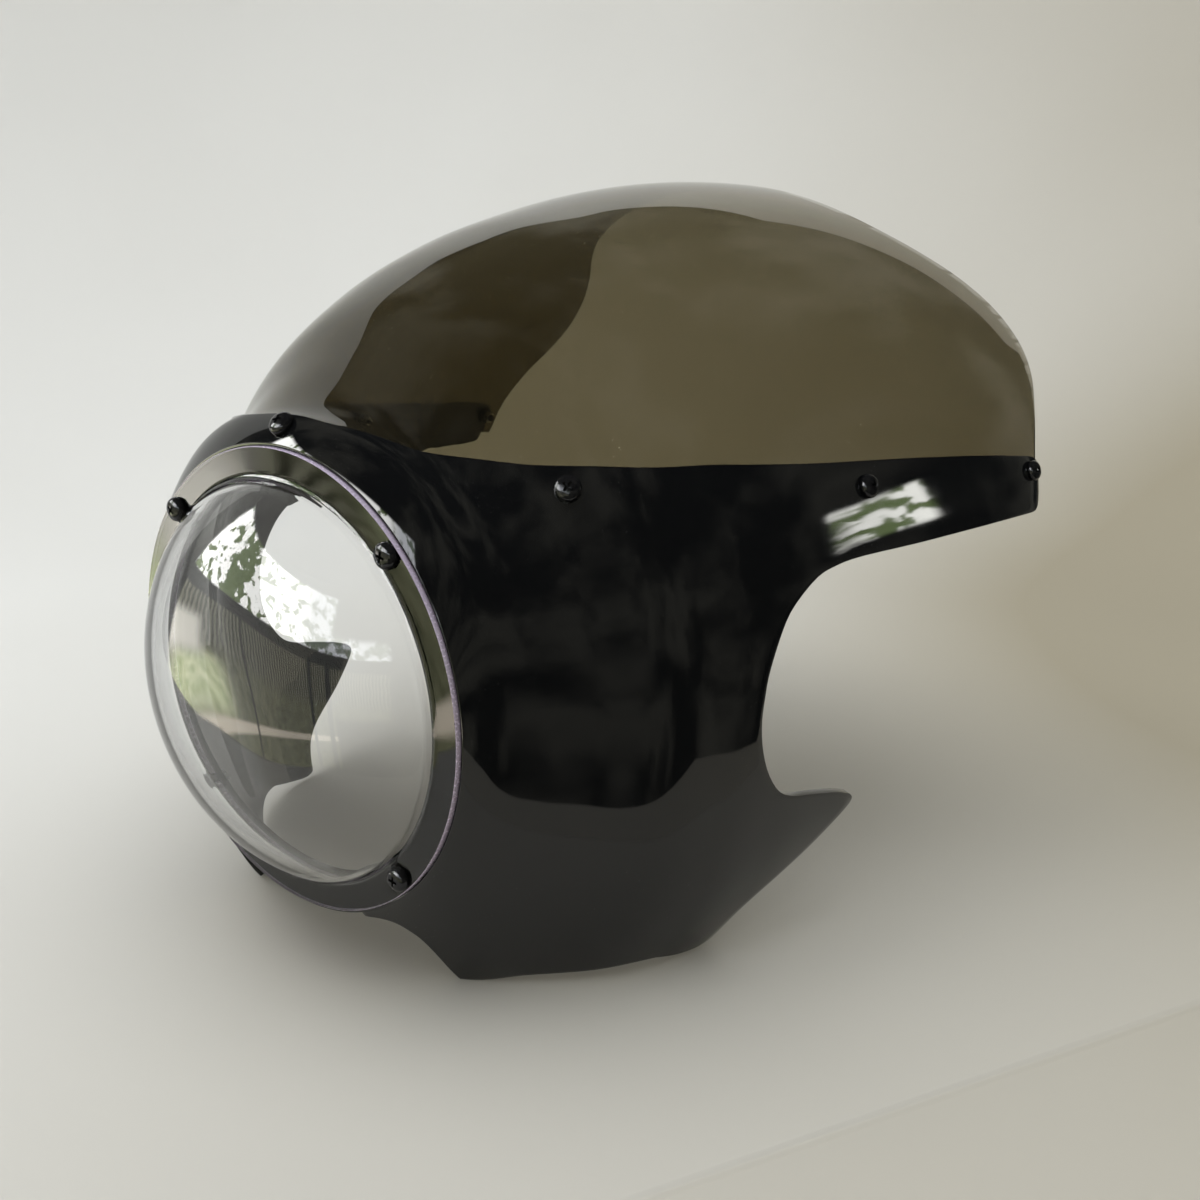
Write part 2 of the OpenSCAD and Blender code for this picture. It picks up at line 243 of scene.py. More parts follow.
def to_part(p: Vector) -> Vector:
    """Millimetres from the flange's middle to metres in the part's frame."""
    return p * MM + RING


def share(v: float) -> float:
    """Share of a strip that a row has run, closer together near the lens."""
    return v**SPREAD


# Mesh helpers


def new_piece(name: str, bm: bmesh.types.BMesh, look: Look, *nodes: str) -> bpy.types.Object:
    """Turns a bmesh into a piece of the object.

    Args:
        name: the piece's name.
        bm: its mesh in the part's frame, which is freed.
        look: the finish that it wears.
        nodes: the solids that it stands for.

    Returns:
        The new object, linked and riding on the body.
    """
    obj = smooth_object(name, bm)
    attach(obj, BODY)
    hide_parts(*nodes)
    LOG.info("%s: %d faces", name, len(obj.data.polygons))
    return obj


def smooth_object(name: str, bm: bmesh.types.BMesh) -> bpy.types.Object:
    """Turns a bmesh into a smooth-shaded object in the scene.

    Args:
        name: the object's name.
        bm: its mesh, which is freed.

    Returns:
        The new object.
    """
    mesh = bpy.data.meshes.new(name)
    bm.to_mesh(mesh)
    bm.free()
    for polygon in mesh.polygons:
        polygon.use_smooth = True
    obj = bpy.data.objects.new(name, mesh)
    bpy.context.scene.collection.objects.link(obj)
    return obj


def sharpen(obj: bpy.types.Object, degrees: float) -> None:
    """Marks the sharp edges of a piece, so that its shading breaks there.

    Args:
        obj: the piece.
        degrees: the angle between two faces past which their edge is sharp.
    """
    limit = math.radians(degrees)
    bm = bmesh.new()
    bm.from_mesh(obj.data)
    for edge in bm.edges:
        if len(edge.link_faces) == 2 and edge.calc_face_angle(0.0) > limit:
            edge.smooth = False
    bm.to_mesh(obj.data)
    bm.free()


def added(bm: bmesh.types.BMesh, old: set[bmesh.types.BMVert]) -> list[bmesh.types.BMVert]:
    """Vertices that a mesh has gained since a set of them was noted."""
    return [v for v in bm.verts if v not in old]


def turn_outward(bm: bmesh.types.BMesh, verts: list[bmesh.types.BMVert]) -> None:
    """Makes the faces round some vertices point outward."""
    bmesh.ops.recalc_face_normals(bm, faces=list({f for v in verts for f in v.link_faces}))


def revolve(
    bm: bmesh.types.BMesh, profile: list[tuple[float, float]], steps: int, closed: bool
) -> list[bmesh.types.BMVert]:
    """Spins a profile round the lens axis.

    Args:
        bm: the mesh that takes the result.
        profile: (radius, depth) points in millimetres.
        steps: number of steps round.
        closed: whether the profile's last point joins its first.

    Returns:
        The vertices of the spun shape, with its doubles merged.
    """
    old = set(bm.verts)
    verts = [bm.verts.new((r * MM, y * MM, 0.0)) for r, y in profile]
    pairs = list(zip(verts, verts[1:])) + ([(verts[-1], verts[0])] if closed else [])
    edges = [bm.edges.new(p) for p in pairs]
    bmesh.ops.spin(
        bm, geom=verts + edges, cent=(0, 0, 0), axis=(0, 1, 0), angle=math.tau, steps=steps, use_merge=True
    )
    bmesh.ops.remove_doubles(bm, verts=added(bm, old), dist=SAME_SPOT)
    made = added(bm, old)
    turn_outward(bm, made)
    return made


def spin_upright(bm: bmesh.types.BMesh, profile: list[tuple[float, float]], steps: int) -> None:
    """Spins a profile round the Z axis.

    Args:
        bm: the mesh that takes the result.
        profile: (radius, height) points in metres.
        steps: number of steps round.
    """
    verts = [bm.verts.new((r, 0.0, z)) for r, z in profile]
    edges = [bm.edges.new(p) for p in zip(verts, verts[1:])]
    bmesh.ops.spin(
        bm, geom=verts + edges, cent=(0, 0, 0), axis=(0, 0, 1), angle=math.tau, steps=steps, use_merge=True
    )


def mapped_grid(
    bm: bmesh.types.BMesh, across: int, rows: int, place: Callable[[float, float], Vector]
) -> None:
    """Makes a grid and puts each of its points where a function says.

    Args:
        bm: the mesh that takes the grid.
        across: number of cells across.
        rows: number of cells along each strip.
        place: gives the point for (u, v), each from 0 to 1.
    """
    made = bmesh.ops.create_grid(bm, x_segments=across, y_segments=rows, size=0.5)["verts"]
    for vert in made:
        vert.co = place(vert.co.x + 0.5, vert.co.y + 0.5)


def close_shell(bm: bmesh.types.BMesh, rim: float) -> None:
    """Joins the rims of an outer and an inner grid and rounds their edges.

    Args:
        bm: a mesh that holds only the two grids.
        rim: radius of the rounding in metres.
    """
    loops = [e for e in bm.edges if e.is_boundary]
    wall = bmesh.ops.bridge_loops(bm, edges=loops)["faces"]
    bmesh.ops.recalc_face_normals(bm, faces=bm.faces)
    skin = set(wall)
    corners = [e for e in loops if e.is_valid and sum(f in skin for f in e.link_faces) == 1]
    bmesh.ops.bevel(
        bm, geom=corners, offset=rim, segments=2, profile=0.5, affect="EDGES", material=-1, clamp_overlap=True
    )


# Finishes


Socket = bpy.types.NodeSocket
Feed = Socket | float | tuple[float, ...]
# The noise's middle, where half a surface would be dusty, and how far above it none is
HALF_DUSTY = 0.5
NONE_DUSTY = 0.32


@dataclass(frozen=True)
class Span:
    """A stretch of numbers with a soft edge at both ends."""

    low: float
    high: float
    soft: float


class Wiring:
    """Adds nodes to one tree and joins them."""

    def __init__(self, tree: bpy.types.NodeTree) -> None:
        """Keeps the tree."""
        self.tree = tree

    def node(self, kind: str, feeds: dict[str | int, Feed] | None = None, **settings: object) -> bpy.types.Node:
        """Adds a node.

        Args:
            kind: the node's type without its Shader prefix.
            feeds: sockets or constants for its inputs.
            settings: the node's own settings.

        Returns:
            The node.
        """
        node = self.tree.nodes.new("ShaderNode" + kind)
        for name, value in settings.items():
            setattr(node, name, value)
        for name, value in (feeds or {}).items():
            self.feed(node.inputs[name], value)
        return node

    def feed(self, target: Socket, value: Feed) -> None:
        """Links a socket to an input, or sets the input's constant.

        Args:
            target: the input.
            value: a socket or a constant.
        """
        if isinstance(value, bpy.types.NodeSocket):
            self.tree.links.new(value, target)
        else:
            target.default_value = value

    def math(self, operation: str, a: Feed, b: Feed = 0.0) -> Socket:
        """Result of one operation on two numbers."""
        return self.node("Math", {0: a, 1: b}, operation=operation).outputs[0]

    def rise(self, value: Socket, low: float, high: float, start: Feed = 0.0, end: Feed = 1.0) -> Socket:
        """Runs smoothly from start to end while a value passes from low to high."""
        feeds = {"Value": value, "From Min": low, "From Max": high, "To Min": start, "To Max": end}
        return self.node("MapRange", feeds, interpolation_type="SMOOTHSTEP").outputs["Result"]

    def product(self, *factors: Feed) -> Feed:
        """Multiplies two or more numbers.

        Args:
            factors: the numbers.

        Returns:
            Their product.
        """
        result = factors[0]
        for factor in factors[1:]:
            result = self.math("MULTIPLY", result, factor)
        return result

    def total(self, *terms: Feed) -> Feed:
        """Adds two or more numbers.

        Args:
            terms: the numbers.

        Returns:
            Their sum.
        """
        result = terms[0]
        for term in terms[1:]:
            result = self.math("ADD", result, term)
        return result

    def between(self, value: Socket, span: Span) -> Socket:
        """1 where a value lies in a span and 0 outside it.

        Args:
            value: the number that is watched.
            span: the span.

        Returns:
            The result's socket.
        """
        past_low = self.rise(value, span.low - span.soft, span.low + span.soft)
        before_high = self.rise(value, span.high + span.soft, span.high - span.soft)
        return self.product(past_low, before_high)

    def blend(self, share_of_b: Feed, a: Feed, b: Feed) -> Socket:
        """Mixes two colours, which have four numbers each."""
        return self.node("Mix", {0: share_of_b, 6: a, 7: b}, data_type="RGBA").outputs[2]

    def tint(self, share_of_b: Feed, a: Colour | Socket, b: Colour | Socket) -> Socket:
        """Mixes two colours, of which those written out have three numbers."""
        whole = [c if isinstance(c, bpy.types.NodeSocket) else (*c, 1.0) for c in (a, b)]
        return self.blend(share_of_b, whole[0], whole[1])

    def noise(self, place: Socket, scale: float, detail: float) -> Socket:
        """Cloudy noise from 0 to 1."""
        return self.node("TexNoise", {"Vector": place, "Scale": scale, "Detail": detail}).outputs["Fac"]


@dataclass(frozen=True)
class Finish:
    """A procedural finish on the Principled shader.

    Args:
        name: the material's name.
        colour: linear base colour.
        rough: roughness.
        metal: metalness.
        clear: share of light that passes through.
        ior: index of refraction.
        grain: scale of the surface's relief, per metre.
        relief: depth of the relief in metres.
        mottle: how far the roughness wanders, up and down.
        dust: linear colour of the specks.
        specks: share of the surface that dust covers, 0 for none.
        speck_scale: how fine the specks are, per metre.
        speck_soft: how softly a speck ends, as a share of the noise's range.
        speck_rough: roughness that a speck adds.
        patch_scale: scale of the patches where the specks gather, per metre.
        patch_run: where the patches' noise passes from bare to dusty.
        mottle_run: where the roughness passes from low to high.
    """

    name: str
    colour: Colour
    rough: float = 0.3
    metal: float = 0.0
    clear: float = 0.0
    ior: float = 1.5
    grain: float = 60.0
    relief: float = 0.0
    mottle: float = 0.0
    dust: Colour = (0.035, 0.034, 0.032)
    specks: float = 0.0
    speck_scale: float = 1500.0
    speck_soft: float = 0.04
    speck_rough: float = 0.5
    patch_scale: float = 30.0
    patch_run: tuple[float, float] = (0.4, 0.65)
    mottle_run: tuple[float, float] = (0.25, 0.75)

    def material(self) -> bpy.types.Material:
        """Builds the material.

        Returns:
            A node material that reads Object coordinates.
        """
        mat = bpy.data.materials.new(self.name)
        mat.use_nodes = True
        wiring = Wiring(mat.node_tree)
        shader = mat.node_tree.nodes["Principled BSDF"]
        shader.inputs["Metallic"].default_value = self.metal
        shader.inputs["Transmission Weight"].default_value = self.clear
        shader.inputs["IOR"].default_value = self.ior
        place = wiring.node("TexCoord").outputs["Object"]
        colour: Feed = (*self.colour, 1.0)
        rough: Feed = self.rough
        if self.mottle:
            cloud = wiring.noise(place, self.grain, 3.0)
            least = max(0.0, self.rough - self.mottle)
            rough = wiring.rise(cloud, *self.mottle_run, least, self.rough + self.mottle)
        if self.specks:
            speck = self.dusting(wiring, place)
            colour = wiring.tint(speck, self.colour, self.dust)
            rough = wiring.total(rough, wiring.product(speck, self.speck_rough))
        wiring.feed(shader.inputs["Base Color"], colour)
        wiring.feed(shader.inputs["Roughness"], rough)
        if self.relief:
            wave = wiring.noise(place, self.grain, 1.0)
            bump = wiring.node("Bump", {"Height": wave, "Strength": 1.0, "Distance": self.relief})
            wiring.feed(shader.inputs["Normal"], bump.outputs["Normal"])
        return mat

    def dusting(self, wiring: Wiring, place: Socket) -> Socket:
        """Where the specks of dust lie.

        Args:
            wiring: the material's nodes.
            place: the point.

        Returns:
            1 on a speck and 0 beside it.
        """
        patch = wiring.rise(wiring.noise(place, self.patch_scale, 2.0), *self.patch_run)
        limit = HALF_DUSTY + NONE_DUSTY * (1.0 - self.specks)
        fine = wiring.rise(wiring.noise(place, self.speck_scale, 1.0), limit, limit + self.speck_soft)
        return wiring.product(fine, patch)


FINISHES = {
    Look.BLACK: Finish(
        "gloss_black_moulding", (0.004, 0.0042, 0.0046), 0.035, grain=32.0, relief=0.00003, mottle=0.02,
        specks=0.25,
    ),
    Look.SMOKED: Finish(
        "smoked_sheet", (0.148, 0.125, 0.072), 0.0, clear=1.0, ior=1.49, grain=14.0, relief=0.00012,
        specks=0.16, dust=(0.22, 0.20, 0.16),
    ),
    Look.CLEAR: Finish(
        "clear_sheet", (0.95, 0.955, 0.96), 0.0, clear=1.0, ior=1.49, grain=16.0, relief=0.00006, specks=0.08,
        dust=(0.6, 0.6, 0.58),
    ),
    Look.SCREW: Finish(
        "black_oxide", (0.035, 0.035, 0.038), 0.13, metal=0.85, grain=500.0, relief=0.00002, mottle=0.08,
        specks=0.3,
    ),
    Look.WASHER: Finish("black_nylon", (0.02, 0.02, 0.021), 0.45, grain=700.0, relief=0.00004, mottle=0.08),
    Look.NUT: Finish("zinc_plate", (0.55, 0.56, 0.57), 0.3, metal=1.0, grain=600.0, relief=0.00003, mottle=0.1),
}
CUT_EDGE = Finish(
    "cut_edge_of_clear_sheet", (0.72, 0.62, 0.80), 0.22, clear=0.4, ior=1.49, grain=900.0, relief=0.00008,
    mottle=0.1,
)


def wear(obj: bpy.types.Object, *materials: bpy.types.Material) -> None:
    """Gives a piece its materials, in the order of its faces' slots."""
    for mat in materials:
        obj.data.materials.append(mat)


# The moulded cowl


@dataclass
class Cowl:
    """The black moulding: shell, lip and flat seat, in millimetres."""

    form: BodyForm
    wall: float = 4.0
    lip_depth: float = 2.0
    lip_radius: float = 106.5
    recess_radius: float = 105.6
    opening_radius: float = 88.0
    seat_front: float = 4.0
    seat_back: float = 7.0
    seat_radius: float = 105.35
    seat_chamfer: float = 0.4
    seat_turns: int = 160
    rim: float = 0.5
    rows: int = 52
    chin_end: float = -66.5
    chin_overlap: float = 0.3
    chin_inside: float = 1.0
    chin_lap: float = 0.01
    chin_turns: int = 24
    sharp: float = 35.0
    runs: tuple[tuple[int, tuple[tuple[float, ...], ...]], ...] = (
        (56, ((90, 90, 13), (84, 77, 13), (77, 66, 19), (68, 56, 32), (56, 45, 54), (46.5, 38, 77.5),
              (41, 34, 112), (36.5, 30.5, 159), (34, 27, 233), (32, 23.5, 317), (31, 22.2, 350))),
        (12, ((31, 22.2, 350), (30.7, 21.6, 358.5), (30.3, 20.4, 361), (29.8, 18.4, 358), (29.3, 15.6, 354),
              (29, 14.4, 349), (28.8, 14.3, 341))),
        (52, ((28.8, 14.3, 341), (27.5, 15, 275), (25.5, 15.6, 225), (23, 16.3, 183), (21, 16.2, 164),
              (19, 15.4, 149.5), (16, 12.6, 133.5), (12, 9.3, 124.5), (6, 4.5, 117), (1, 0.7, 114.5),
              (-4, -3, 113.7), (-9, -7, 115.7), (-14, -11, 121), (-18.5, -14.4, 130), (-22, -16, 141),
              (-24, -17, 157), (-25.6, -18.4, 177), (-26.8, -19.7, 190))),
        (30, ((-26.8, -19.7, 190), (-27.4, -20.7, 193.6), (-28, -22, 192), (-29.5, -24.5, 183),
              (-31.3, -27.5, 170.5), (-33.2, -30.5, 155.5), (-35, -33.2, 142.5), (-36.8, -36, 133.5),
              (-38.6, -39.3, 128.3), (-40, -41.6, 125.5), (-41, -42.3, 119.5))),
        (24, ((-41, -42.3, 119.5), (-41.7, -41.6, 101), (-43.2, -43, 80), (-46.3, -47, 62.5),
              (-49.5, -52.8, 46), (-52, -58.3, 36.5), (-54, -61.4, 31.3))),
        (22, ((-54, -61.4, 31.3), (-54.4, -60.4, 26), (-55.2, -59.3, 21), (-56.1, -58.4, 16),
              (-57.2, -58.2, 12), (-59.5, -59.3, 7.2), (-62.8, -62.4, 4.5), (-66.5, -66.5, 3.2))),
    )

    def edge(self, u: float) -> tuple[float, ...]:
        """The strip at u from 0, far chin, over the brow at 0.5, to 1, near chin.

        Args:
            u: share of the edge's cells that are passed.

        Returns:
            The angle at the lip, and the angle and depth at the edge.
        """
        cells = sum(n for n, _ in self.runs)
        k = abs(2 * u - 1) * cells
        for n, run in self.runs:
            if k <= n + ROUNDING:
                lip, angle, depth = on_run(run, min(1.0, k / n))
                break
            k -= n
        return (lip, angle, depth) if u >= 0.5 else (180 - lip, 180 - angle, depth)

    def outer(self, u: float, v: float) -> Vector:
        """Point of the outer face.

        Args:
            u: share of the strips that are passed.
            v: share of the rows that are passed, from the lip.

        Returns:
            The point in the part's frame.
        """
        lip, angle, depth = self.edge(u)
        s = share(v)
        return to_part(self.form.point(lip + (angle - lip) * s, self.lip_depth + (depth - self.lip_depth) * s))

    def inner(self, u: float, v: float) -> Vector:
        """Point of the inner face.

        Args:
            u: share of the strips that are passed.
            v: share of the rows that are passed, from the lip.

        Returns:
            The point in the part's frame, never inside the seat's recess.
        """
        lip, angle, depth = self.edge(u)
        s = share(v)
        a = lip + (angle - lip) * s
        if v < ROUNDING:
            c = math.radians(a)
            r = self.recess_radius
            return to_part(Vector((r * math.cos(c), self.lip_depth, r * math.sin(c))))
        p = self.form.below_skin(a, self.lip_depth + (depth - self.lip_depth) * s, self.wall)
        k = max(1.0, self.recess_radius / math.hypot(p.x, p.z))
        return to_part(Vector((k * p.x, p.y, k * p.z)))

    def build(self, black: bpy.types.Material) -> None:
        """Models the shell and its seat and dresses them.

        Args:
            black: the gloss black finish.
        """
        bm = bmesh.new()
        across = 2 * sum(n for n, _ in self.runs)
        mapped_grid(bm, across, self.rows, self.outer)
        mapped_grid(bm, across, self.rows, self.inner)
        close_shell(bm, self.rim * MM)
        bevelled = self.opening_radius + self.seat_chamfer
        profile = [
            (self.opening_radius, self.seat_front + self.seat_chamfer),
            (bevelled, self.seat_front),
            (self.seat_radius, self.seat_front),
            (self.seat_radius, self.seat_back),
            (bevelled, self.seat_back),
            (self.opening_radius, self.seat_back - self.seat_chamfer),
        ]
        seat = revolve(bm, profile, self.seat_turns, True)
        bmesh.ops.translate(bm, verts=seat, vec=RING)
        self.chin_lip(bm)
        piece = new_piece("cowl_moulding", bm, Look.BLACK, "cowl", "lens_seat")
        sharpen(piece, self.sharp)
        wear(piece, black)

    def chin_lip(self, bm: bmesh.types.BMesh) -> None:
        """Adds the lip that runs on under the lens between the chin's ends.

        Args:
            bm: the mesh that takes it.
        """
        start = math.radians(-self.chin_end + self.chin_overlap)
        inside = self.seat_radius - self.chin_inside
        front = self.seat_front + self.chin_lap
        profile = [
            (self.recess_radius, self.lip_depth),
            (self.lip_radius, self.lip_depth),
            (self.lip_radius, self.seat_back),
            (inside, self.seat_back),
            (inside, front),
            (self.recess_radius, front),
        ]
        old = set(bm.verts)
        verts = [bm.verts.new((r * MM, y * MM, 0.0)) for r, y in profile]
        face = bm.faces.new(verts)
        bmesh.ops.rotate(bm, verts=verts, cent=(0, 0, 0), matrix=Matrix.Rotation(start, 3, "Y"))
        bmesh.ops.spin(
            bm, geom=[face], cent=(0, 0, 0), axis=(0, 1, 0), angle=math.pi - 2 * start, steps=self.chin_turns,
            use_merge=False,
        )
        bmesh.ops.remove_doubles(bm, verts=added(bm, old), dist=SAME_SPOT)
        made = added(bm, old)
        turn_outward(bm, made)
        bmesh.ops.translate(bm, verts=made, vec=RING)


# The windscreen


@dataclass
class Windscreen:
    """The smoked sheet inside the cowl's top edge, in millimetres."""

    form: BodyForm
    depth: float = 4.75
    wall: float = 1.8
    rim: float = 0.4
    sharp: float = 35.0
    rows: int = 56
    cells: int = 90
    near_half: tuple[tuple[float, ...], ...] = (
        (90, 4.6, 90, 342), (80, 4.9, 80, 344), (70.5, 7, 71, 350), (62.5, 12, 64, 360), (54, 20, 58, 378),
        (47, 30, 52, 400), (40.5, 42, 46.5, 414.5), (35, 57, 41.5, 419.3), (30.7, 76, 37.5, 417.5),
        (27.2, 100, 33.5, 409), (24.3, 133, 29.5, 395), (22, 172, 26, 383.5), (20, 222, 22.7, 374),
        (18.4, 277, 19.8, 368), (17.2, 322, 17.3, 364.5), (16.4, 350, 15.9, 361),
    )

    def layer(self, inset: float) -> Callable[[float, float], Vector]:
        """A function that places a grid at a distance below the outer skin.

        Args:
            inset: the distance in millimetres.

        Returns:
            The function of (u, v).
        """

        def place(u: float, v: float) -> Vector:
            """Point for a strip and a row.

            Args:
                u: share of the strips that are passed, from the far side.
                v: share of the rows that are passed, from the front.

            Returns:
                The point in the part's frame.
            """
            front_angle, front, rear_angle, rear = on_run(self.near_half, abs(2 * u - 1))
            s = share(v)
            angle = front_angle + (rear_angle - front_angle) * s
            return to_part(
                self.form.below_skin(angle if u >= 0.5 else 180 - angle, front + (rear - front) * s, inset)
            )

        return place

    def build(self, smoked: bpy.types.Material) -> None:
        """Models and dresses the sheet.

        Args:
            smoked: the smoked finish.
        """
        bm = bmesh.new()
        mapped_grid(bm, 2 * self.cells, self.rows, self.layer(self.depth))
        mapped_grid(bm, 2 * self.cells, self.rows, self.layer(self.depth + self.wall))
        close_shell(bm, self.rim * MM)
        piece = new_piece("windscreen_sheet", bm, Look.SMOKED, "windscreen")
        sharpen(piece, self.sharp)
        wear(piece, smoked)


# The lens


@dataclass
class Lens:
    """The clear domed sheet with its flat flange, in millimetres."""

    flange_radius: float = 105.0
    sheet: float = 4.0
    dome_radius: float = 90.0
    foot: float = 5.6
    rise: float = 34.0
    fullness: float = 3.0
    thin: float = 3.0
    steps: int = 36
    turns: int = 144
    rim: float = 0.35
    sharp: float = 40.0
    outer_fillet: tuple[tuple[float, float], ...] = (
        (90.55, -4.3), (90.85, -2.8), (91.4, -1.5), (92.4, -0.55), (93.6, -0.12), (95.0, 0.0),
    )
    inner_fillet: tuple[tuple[float, float], ...] = (
        (92.2, 4.0), (90.6, 3.75), (89.3, 3.0), (88.4, 1.8), (87.9, 0.4), (87.5, -1.1),
    )

    def dome(self, foot_radius: float, top: float) -> list[tuple[float, float]]:
        """Profile of one face of the dome.

        Args:
            foot_radius: the face's radius at its foot.
            top: depth of its middle.

        Returns:
            (radius, depth) points from the axis to the foot.
        """
        return [
            (foot_radius * i / self.steps, top + self.rise * (i / self.steps) ** self.fullness)
            for i in range(self.steps + 1)
        ]

    def build(self, clear: bpy.types.Material, cut_edge: bpy.types.Material) -> None:
        """Models and dresses the lens.

        Args:
            clear: the clear finish.
            cut_edge: the finish of the sheet's cut edge.
        """
        apex = -self.foot - self.rise
        outer = self.dome(self.dome_radius, apex)
        inner = self.dome(self.dome_radius - self.thin, apex + self.thin)
        rim = [
            (self.flange_radius - self.rim, 0.0),
            (self.flange_radius, self.rim),
            (self.flange_radius, self.sheet - self.rim),
            (self.flange_radius - self.rim, self.sheet),
        ]
        bm = bmesh.new()
        profile = [*outer, *self.outer_fillet, *rim, *self.inner_fillet, *inner[::-1]]
        made = revolve(bm, profile, self.turns, False)
        bmesh.ops.translate(bm, verts=made, vec=RING)
        edge = (self.flange_radius - self.rim - NEAR) * MM
        for face in bm.faces:
            if all(math.hypot(v.co.x, v.co.z - RING.z) > edge for v in face.verts):
                face.material_index = 1
        piece = new_piece("domed_lens", bm, Look.CLEAR, "lens")
        sharpen(piece, self.sharp)
        wear(piece, clear, cut_edge)


# Fasteners


@dataclass
class Fasteners:
    """Screws with low round cross-recess heads, washers and nuts, in millimetres."""

    form: BodyForm
    shank: float = 2.5
    point: float = 0.5
    head_radius: float = 5.7
    head_height: float = 4.0
    head_foot: float = 0.1
    head_shares: tuple[tuple[float, float], ...] = (
        (1.0, 0.12), (1.0, 0.3), (0.95, 0.52), (0.84, 0.73), (0.68, 0.88), (0.52, 0.96),
    )
    recess_arm: float = 0.42
    recess_half: float = 0.1
    recess_depth: float = 0.45
    recess_taper: float = 0.72
    turns: int = 24
    washer_radius: float = 6.2
    washer_thick: float = 1.2
    washer_sides: int = 32
    nut_flats: float = 8.0
    nut_sides: int = 6
    nut_thick: float = 4.0
    tip: float = 1.5
    bore: float = 2.55
    broken_edge: float = 0.15
    corner_radians: float = 1.2
    sharp: float = 32.0
    circle: float = 98.8
    lens_turns: tuple[int, ...] = (45, 135, 225, 315)
    lens_twist: float = 1.7
    lens_stack: float = 7.0
    screen_stack: float = 6.55
    washer_gaps: tuple[float, ...] = (0.87, 0.63, 0.63, 0.63, 0.63, 0.63, 0.63)
    lift: float = 0.25
    first_twist: float = 0.3
    next_twist: float = 0.6
    screen_spots: tuple[tuple[float, float], ...] = (
        (90, 8), (39.5, 57), (25.1, 196.5), (20, 351), (140.5, 57), (154.9, 196.5), (160, 351),
    )

    def lens_places(self) -> list[Matrix]:
        """Where the lens screws sit on the flange's front face.

        Returns:
            One frame for each screw, with its Z forward.
        """
        places = []
        forward = Matrix.Rotation(math.radians(90), 4, "X")
        for turn in self.lens_turns:
            a = math.radians(turn)
            spot = RING + Vector((self.circle * math.cos(a), 0.0, self.circle * math.sin(a))) * MM
            places.append(Matrix.Translation(spot) @ (forward @ Matrix.Rotation(a * self.lens_twist, 4, "Z")))
        return places

    def screen_places(self) -> list[Matrix]:
        """Where the windscreen screws sit on the cowl's skin.

        Returns:
            One frame for each screw, with its Z outward.
        """
        places = []
        for i, (angle, depth) in enumerate(self.screen_spots):
            outward = self.form.normal(angle, depth).to_track_quat("Z", "Y").to_matrix().to_4x4()
            twist = Matrix.Rotation(self.next_twist * i + self.first_twist, 4, "Z")
            spot = to_part(self.form.point(angle, depth))
            places.append(Matrix.Translation(spot) @ (outward @ twist))
        return places

    def screw(self, bm: bmesh.types.BMesh, place: Matrix, length: float) -> None:
        """Adds one screw, with the flat of its head at the frame's origin.

        Args:
            bm: the mesh that takes it.
            place: the screw's frame.
            length: length of the shank in millimetres.
        """
        old = set(bm.verts)
        r, h = self.head_radius, self.head_height
        profile = [
            (self.shank - self.point, -length),
            (self.shank, -length + self.point),
            (self.shank, 0.0),
            (r - self.head_foot, 0.0),
            *((across * r, up * h) for across, up in self.head_shares),
        ]
        spin_upright(bm, [(q * MM, z * MM) for q, z in profile], self.turns)
        bmesh.ops.remove_doubles(bm, verts=added(bm, old), dist=SAME_SPOT)
        made = added(bm, old)
        bmesh.ops.contextual_create(bm, geom=[v for v in made if v.co.z < -(length - NEAR) * MM])
        crown = self.head_shares[-1][1] * h - NEAR
        self.cross_recess(bm, [v for v in made if v.co.z > crown * MM])
        made = added(bm, old)
        turn_outward(bm, made)
        bmesh.ops.transform(bm, matrix=place, verts=made)

    def cross_recess(self, bm: bmesh.types.BMesh, crown: list[bmesh.types.BMVert]) -> None:
        """Closes the head's crown round a tapered cross recess.

        Args:
            bm: the mesh.
            crown: the ring of vertices round the open crown.
        """
        arm = self.recess_arm * self.head_radius * MM
        half = self.recess_half * self.head_radius * MM
        top = self.head_height * MM
        corners = [(arm, -half), (arm, half), (half, half)]
        outline = []
        for quarter in range(4):
            turn = Matrix.Rotation(quarter * math.pi / 2, 4, "Z")
            outline += [bm.verts.new(turn @ Vector((x, y, top))) for x, y in corners]
        loop = [bm.edges.new(p) for p in zip(outline, outline[1:] + outline[:1])]
        rim = [e for e in {e for v in crown for e in v.link_edges} if all(v in crown for v in e.verts)]
        bmesh.ops.bridge_loops(bm, edges=loop + rim)
        sunk = bmesh.ops.extrude_edge_only(bm, edges=loop)["geom"]
        low = [g for g in sunk if isinstance(g, bmesh.types.BMVert)]
        bmesh.ops.translate(bm, verts=low, vec=(0, 0, -self.recess_depth * top))
        bmesh.ops.scale(bm, verts=low, vec=(self.recess_taper, self.recess_taper, 1.0))
        sunk_edges = [g for g in sunk if isinstance(g, bmesh.types.BMEdge)]
        bmesh.ops.contextual_create(bm, geom=[e for e in sunk_edges if all(v in low for v in e.verts)])

